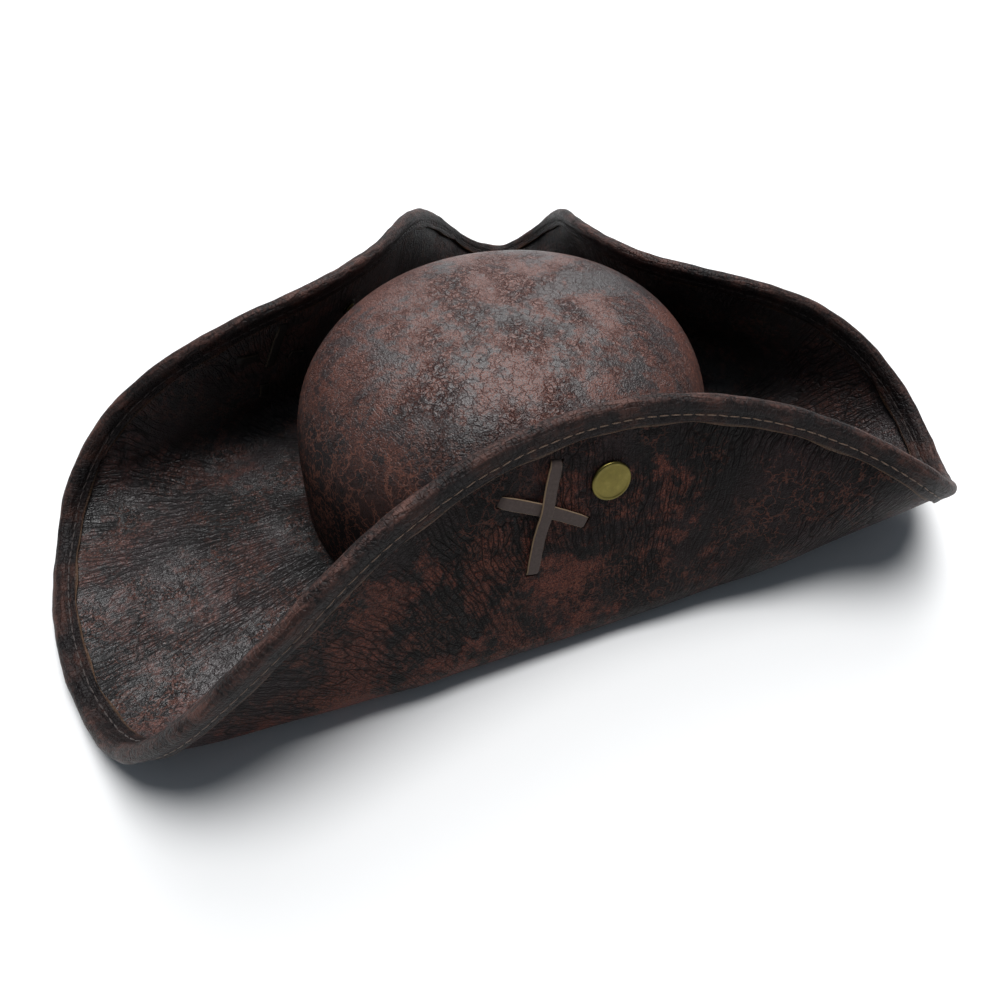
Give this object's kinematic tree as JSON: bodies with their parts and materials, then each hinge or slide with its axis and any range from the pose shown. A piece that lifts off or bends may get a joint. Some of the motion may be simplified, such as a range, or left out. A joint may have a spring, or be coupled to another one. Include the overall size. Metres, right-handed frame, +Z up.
{
  "type": "pirate hat",
  "caption": "Three-cornered pirate hat in distressed brown leather: domed crown, wired and bound brim folded up into three flaps, laced crosses and brass rivets on the side flaps.",
  "frame": {"origin": "middle of the head opening, at mid thickness of the flat part of the brim", "axes": "+Z up, -Y towards the front corner, +X towards the wearer's left"},
  "size_m": [0.3428, 0.3723, 0.1056],
  "materials": {
    "leather": "distressed, semi-gloss",
    "binding": "satin",
    "lace": "matte",
    "band": "satin",
    "core": "matte",
    "lining": "satin",
    "thread": "matte",
    "steel": "satin",
    "brass": "satin"
  },
  "bodies": {
    "root": {"crown_shell": "leather", "brim_upper_skin": "leather", "brim_under_skin": "leather", "brim_core": "core", "edge_binding": "binding", "brim_wire": "steel", "brim_wire_sleeve": "steel", "binding_thread_top": "thread", "binding_thread_under": "thread", "crown_seam_thread": "thread", "crown_lining": "lining", "sweatband": "band", "sweatband_tape": "band", "left_short_lace": "lace", "left_long_lace": "lace", "right_short_lace": "lace", "right_long_lace": "lace", "left_rivet": "brass", "left_burr": "brass", "right_rivet": "brass", "right_burr": "brass"}
  },
  "joints": []
}
